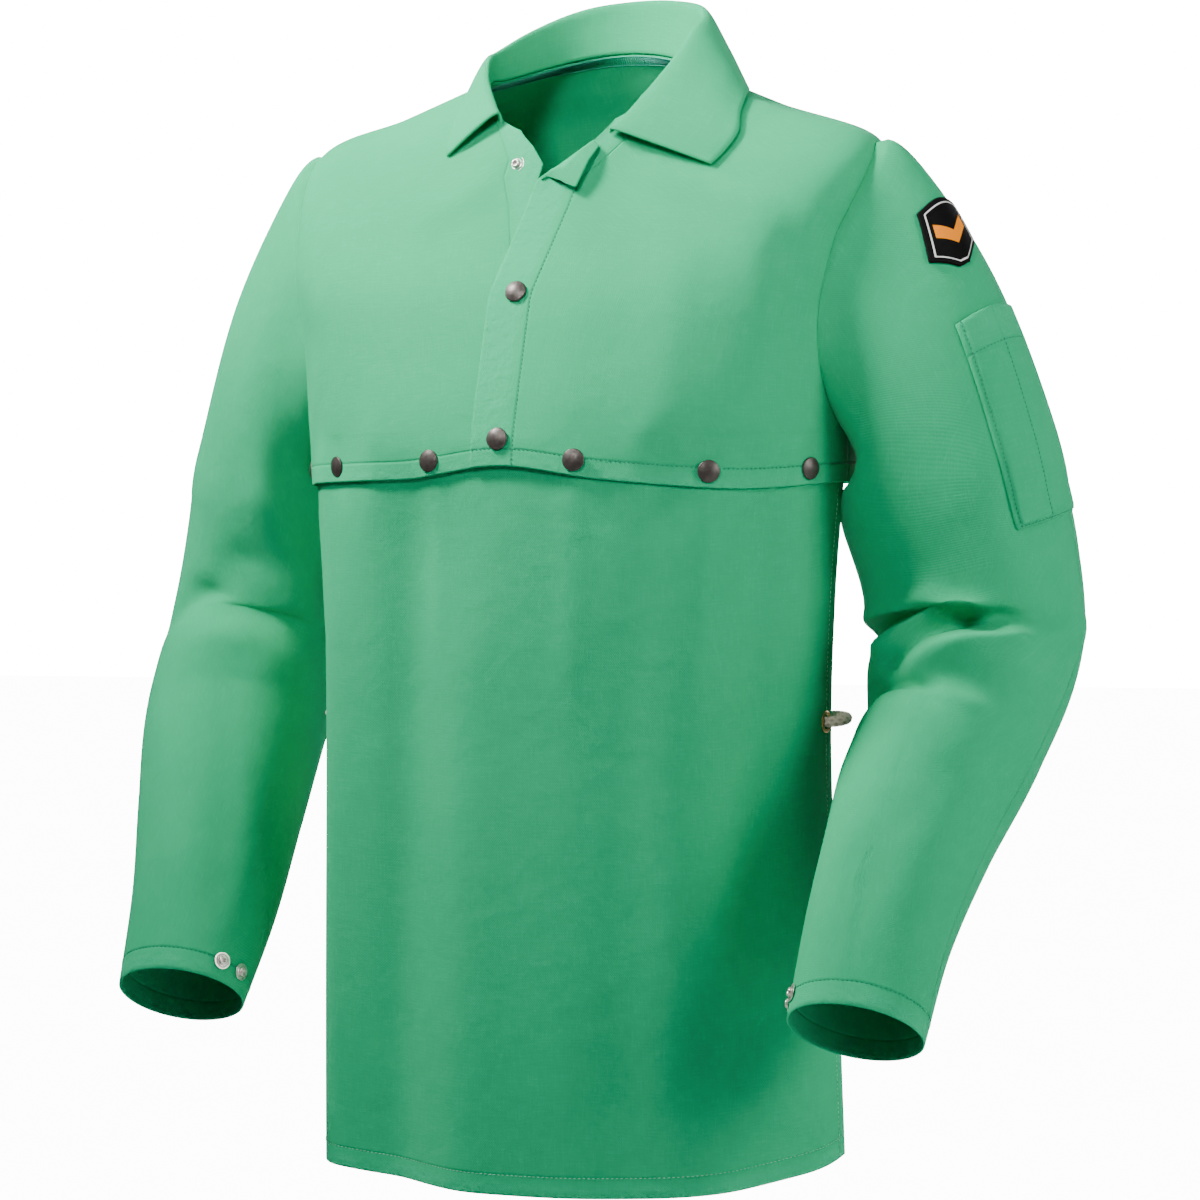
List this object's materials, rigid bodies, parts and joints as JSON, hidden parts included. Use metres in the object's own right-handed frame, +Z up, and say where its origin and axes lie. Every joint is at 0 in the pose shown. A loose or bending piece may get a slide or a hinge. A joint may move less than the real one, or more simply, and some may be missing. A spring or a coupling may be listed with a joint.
{
  "type": "welding cape with bib",
  "caption": "Green flame-resistant cotton cape with two long sleeves and fold-down collar, snapped down the front, and a long bib snapped under its hem with a beige waist tie.",
  "frame": {"origin": "where the cape sits on the wearer: level with the side of the neck, midway between the shoulders", "axes": "+Z up the wearer, -Y ahead of the wearer (the front opening faces -Y), +X to the wearer's left"},
  "size_m": [0.6949, 0.2819, 0.8184],
  "materials": {
    "green_cotton": "matt twill cotton",
    "patch_black": "plain woven patch with a pale border",
    "snap_pewter": "dark satin enamel over brass",
    "stud_steel": "nickel plated, satin",
    "eyelet_brass": "rolled brass, slightly dull",
    "tie_cotton": "braided natural cotton cord"
  },
  "bodies": {
    "root": {"cape_back": "green_cotton", "cape_front_left": "green_cotton", "cape_front_right": "green_cotton", "sleeve_left": "green_cotton", "sleeve_right": "green_cotton", "collar": "green_cotton", "bib": "green_cotton", "sleeve_pocket": "green_cotton", "sleeve_patch": "patch_black", "placket_snap_top": "snap_pewter", "placket_snap_middle": "snap_pewter", "placket_snap_bottom": "snap_pewter", "hem_snap_1": "snap_pewter", "hem_snap_2": "snap_pewter", "hem_snap_3": "snap_pewter", "hem_snap_4": "snap_pewter", "hem_snap_5": "snap_pewter", "hem_snap_6": "snap_pewter", "cuff_cap_left": "snap_pewter", "cuff_cap_right": "snap_pewter", "neck_stud": "stud_steel", "cuff_stud_left_1": "stud_steel", "cuff_stud_left_2": "stud_steel", "cuff_stud_right_1": "stud_steel", "cuff_stud_right_2": "stud_steel", "bib_eyelet_left": "eyelet_brass", "bib_eyelet_right": "eyelet_brass", "waist_tie": "tie_cotton", "tie_knot_left": "tie_cotton", "tie_knot_right": "tie_cotton"}
  },
  "joints": []
}
